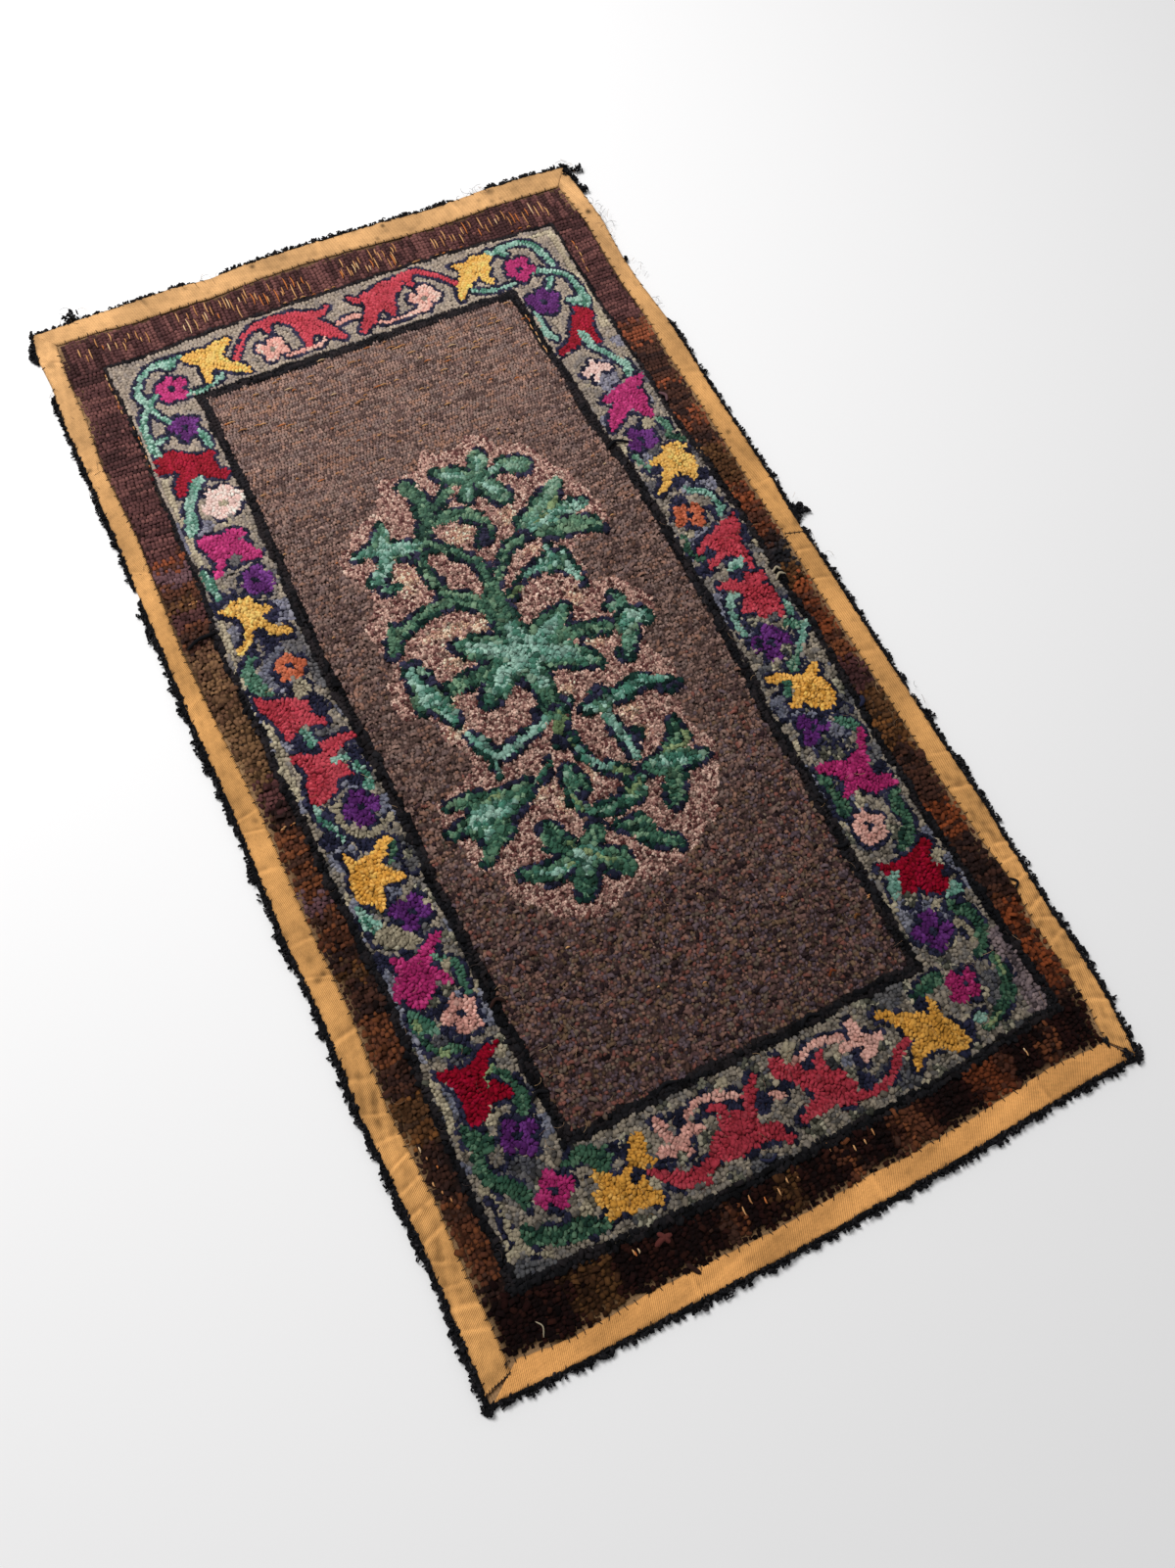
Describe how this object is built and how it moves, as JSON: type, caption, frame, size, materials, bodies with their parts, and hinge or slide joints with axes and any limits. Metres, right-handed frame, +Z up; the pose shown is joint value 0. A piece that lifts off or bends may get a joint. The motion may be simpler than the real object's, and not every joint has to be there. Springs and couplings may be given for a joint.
{
  "type": "hooked rug",
  "caption": "Flat oblong hooked rug: looped wool pile with a flower border and a green medallion, cotton tape bound round its face, and a worn black looped edging.",
  "frame": {"origin": "under the middle of the rug, on the floor", "axes": "+X across the rug to the right, +Y along it to the far end, +Z up"},
  "size_m": [0.6966, 1.2238, 0.0103],
  "materials": {
    "hooked_wool": "looped wool strips, matte",
    "twill_tape": "tan cotton twill, matte",
    "black_yarn": "black looped wool yarn, matte"
  },
  "bodies": {
    "root": {"hooked_panel": "hooked_wool", "binding_left": "twill_tape", "binding_top": "twill_tape", "binding_right_upper": "twill_tape", "binding_right_lower": "twill_tape", "binding_bottom": "twill_tape", "edging_left_corner": "black_yarn", "edging_left_upper": "black_yarn", "edging_left_lower": "black_yarn", "edging_bottom": "black_yarn", "edging_right_lower": "black_yarn", "edging_right_middle": "black_yarn", "edging_right_upper": "black_yarn", "edging_right_corner": "black_yarn", "edging_top_left": "black_yarn", "edging_top_middle": "black_yarn", "edging_top_right": "black_yarn"}
  },
  "joints": []
}
